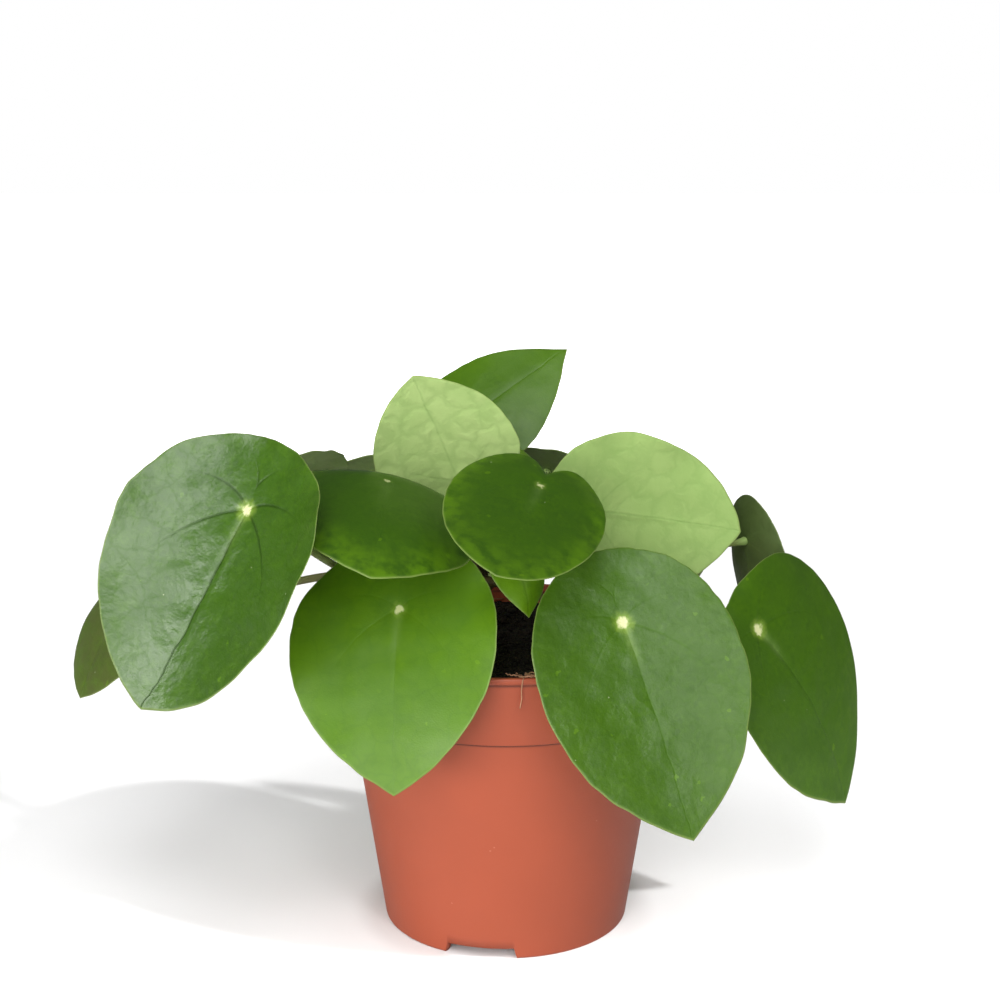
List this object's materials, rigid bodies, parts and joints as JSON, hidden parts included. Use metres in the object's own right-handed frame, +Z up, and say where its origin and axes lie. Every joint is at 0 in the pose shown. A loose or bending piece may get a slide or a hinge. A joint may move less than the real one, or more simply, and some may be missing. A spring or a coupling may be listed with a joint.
{
  "type": "potted pilea plant",
  "caption": "Small house plant with round leaves on long petioles, growing from a short stem in soil, in a tapered round plastic nursery pot.",
  "frame": {"origin": "the middle of the ground that the plant covers seen from above, on the surface that the pot stands on; the pot's axis is at x = +12.8 mm, y = -12.9 mm", "axes": "+Z up along the pot's axis, -Y towards the front with the two largest hanging leaves, +X to the right seen from the front"},
  "size_m": [0.2737, 0.2138, 0.1938],
  "materials": {
    "pot_plastic": "satin terracotta-coloured plastic",
    "peat_soil": "dark moist peat with fine fibres",
    "stem_bark": "brown-green bark with leaf scars",
    "leaf_blade": "satin green with a waxy sheen",
    "young_blade": "satin light green",
    "petiole": "smooth olive green"
  },
  "bodies": {
    "root": {"pot": "pot_plastic", "soil": "peat_soil", "stem": "stem_bark", "blade_01": "leaf_blade", "petiole_01": "petiole", "blade_02": "leaf_blade", "petiole_02": "petiole", "blade_03": "leaf_blade", "petiole_03": "petiole", "blade_04": "leaf_blade", "petiole_04": "petiole", "blade_05": "leaf_blade", "petiole_05": "petiole", "blade_06": "leaf_blade", "petiole_06": "petiole", "blade_07": "leaf_blade", "petiole_07": "petiole", "blade_08": "leaf_blade", "petiole_08": "petiole", "blade_09": "leaf_blade", "petiole_09": "petiole", "blade_10": "leaf_blade", "petiole_10": "petiole", "blade_11": "leaf_blade", "petiole_11": "petiole", "blade_12": "leaf_blade", "petiole_12": "petiole", "blade_13": "leaf_blade", "petiole_13": "petiole", "blade_14": "leaf_blade", "petiole_14": "petiole", "blade_15": "young_blade", "petiole_15": "petiole", "blade_16": "leaf_blade", "petiole_16": "petiole", "blade_17": "leaf_blade", "petiole_17": "petiole", "blade_18": "leaf_blade", "petiole_18": "petiole", "blade_19": "leaf_blade", "petiole_19": "petiole", "blade_20": "young_blade", "petiole_20": "petiole", "blade_21": "young_blade", "petiole_21": "petiole"}
  },
  "joints": []
}
